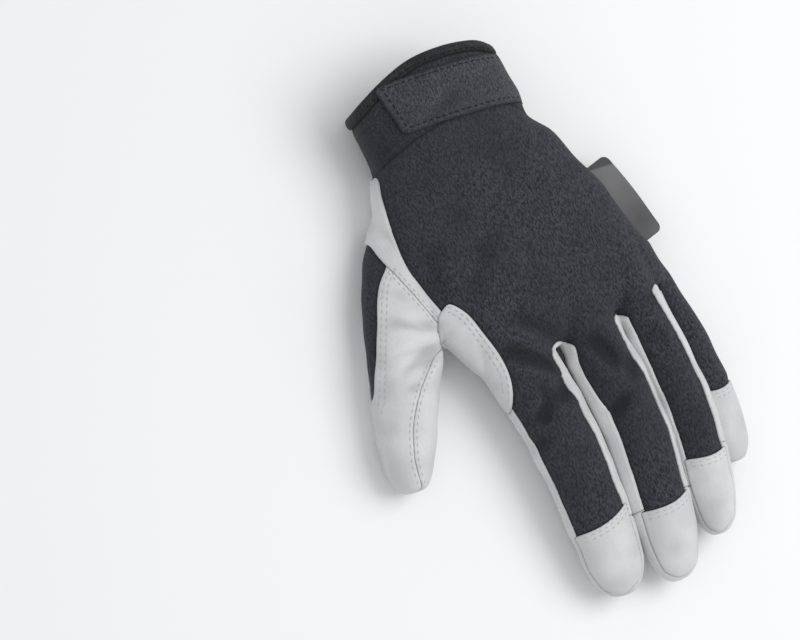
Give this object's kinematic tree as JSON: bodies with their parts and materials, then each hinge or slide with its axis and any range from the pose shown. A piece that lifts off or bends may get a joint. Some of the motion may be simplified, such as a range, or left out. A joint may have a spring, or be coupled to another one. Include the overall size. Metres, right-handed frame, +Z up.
{
  "type": "mechanic glove",
  "caption": "Left-hand work glove lying palm down: knit back, pale leather palm, thumb and fingertips, bound cuff with a hook-and-loop strap and a folded side tag.",
  "frame": {"origin": "on the flat underside of the palm, where it rests", "axes": "+X to the thumb side, +Y to the fingertips, +Z up from the palm through the back of the hand"},
  "size_m": [0.1573, 0.2378, 0.0472],
  "materials": {
    "leather": "pale grey suede-like goatskin with fine grain",
    "knit": "charcoal stretch knit with a fine diagonal weave",
    "cuff_fabric": "dense charcoal loop fabric",
    "binding": "black woven binding tape",
    "tag": "dark grey satin-woven tape, blank"
  },
  "bodies": {
    "root": {"hem_binding": "binding", "cuff_band": "cuff_fabric", "closure_strap": "cuff_fabric", "cap_little": "leather", "cap_ring": "leather", "cap_middle": "leather", "cap_index": "leather", "fourchette_little_ring": "leather", "fourchette_ring_middle": "leather", "fourchette_middle_index": "leather", "index_patch": "leather", "side_strip": "leather", "back_panel": "knit", "thumb_gusset": "knit", "thumb_back": "leather", "thumb_front": "leather", "heel_panel": "leather", "palm_centre": "leather", "palm_panel": "leather", "side_tag": "tag"}
  },
  "joints": []
}
